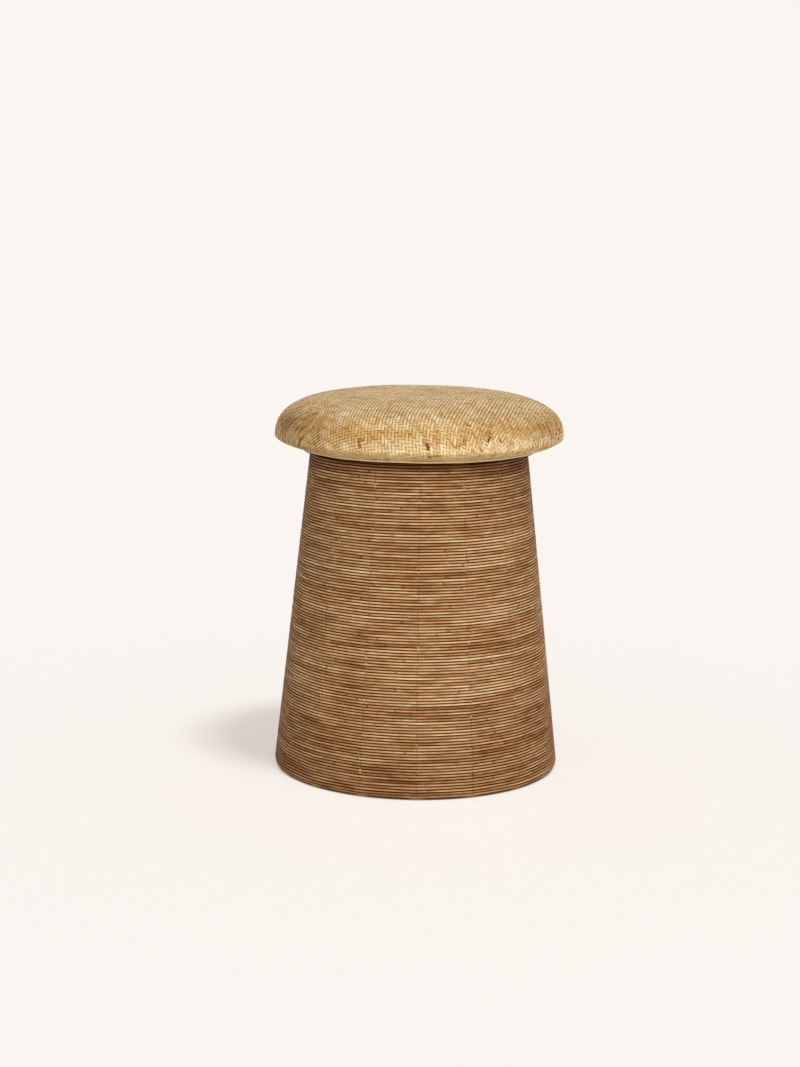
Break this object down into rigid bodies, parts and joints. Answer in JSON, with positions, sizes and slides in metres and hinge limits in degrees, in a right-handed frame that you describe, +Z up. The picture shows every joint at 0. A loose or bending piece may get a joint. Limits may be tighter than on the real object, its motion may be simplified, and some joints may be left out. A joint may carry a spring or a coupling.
{
  "type": "mudda stool",
  "caption": "Round stool with a tapered drum of closely wound cane and a wide domed seat of woven cane that turns under at its rim.",
  "frame": {"origin": "centre of the foot, on the floor that the glides stand on", "axes": "+Z up along the stool's axis, +X to the right and -Y to the front of the picture"},
  "size_m": [0.352, 0.3518, 0.4607],
  "materials": {
    "wound_cane": "satin lacquered round cane",
    "slat_cane": "bare split cane",
    "pole_cane": "bare cane pole",
    "plywood": "stained plywood",
    "turned_wood": "bare turned softwood",
    "woven_cane": "woven flat cane, matte",
    "binding_cane": "peeled pale cane",
    "glide_plastic": "moulded",
    "screw_steel": "zinc plated"
  },
  "bodies": {
    "root": {"cane_winding": "wound_cane", "slat_01": "slat_cane", "slat_02": "slat_cane", "slat_03": "slat_cane", "slat_04": "slat_cane", "slat_05": "slat_cane", "slat_06": "slat_cane", "slat_07": "slat_cane", "slat_08": "slat_cane", "slat_09": "slat_cane", "slat_10": "slat_cane", "slat_11": "slat_cane", "slat_12": "slat_cane", "slat_13": "slat_cane", "slat_14": "slat_cane", "slat_15": "slat_cane", "slat_16": "slat_cane", "foot_hoop": "pole_cane", "lower_hoop": "pole_cane", "upper_hoop": "pole_cane", "neck_hoop": "pole_cane", "glide_1": "glide_plastic", "glide_2": "glide_plastic", "glide_3": "glide_plastic", "glide_4": "glide_plastic", "seat_board": "plywood", "seat_screw_1": "screw_steel", "seat_screw_2": "screw_steel", "seat_screw_3": "screw_steel", "seat_screw_4": "screw_steel", "seat_form": "turned_wood", "woven_cover": "woven_cane", "rim_binding": "binding_cane"}
  },
  "joints": []
}
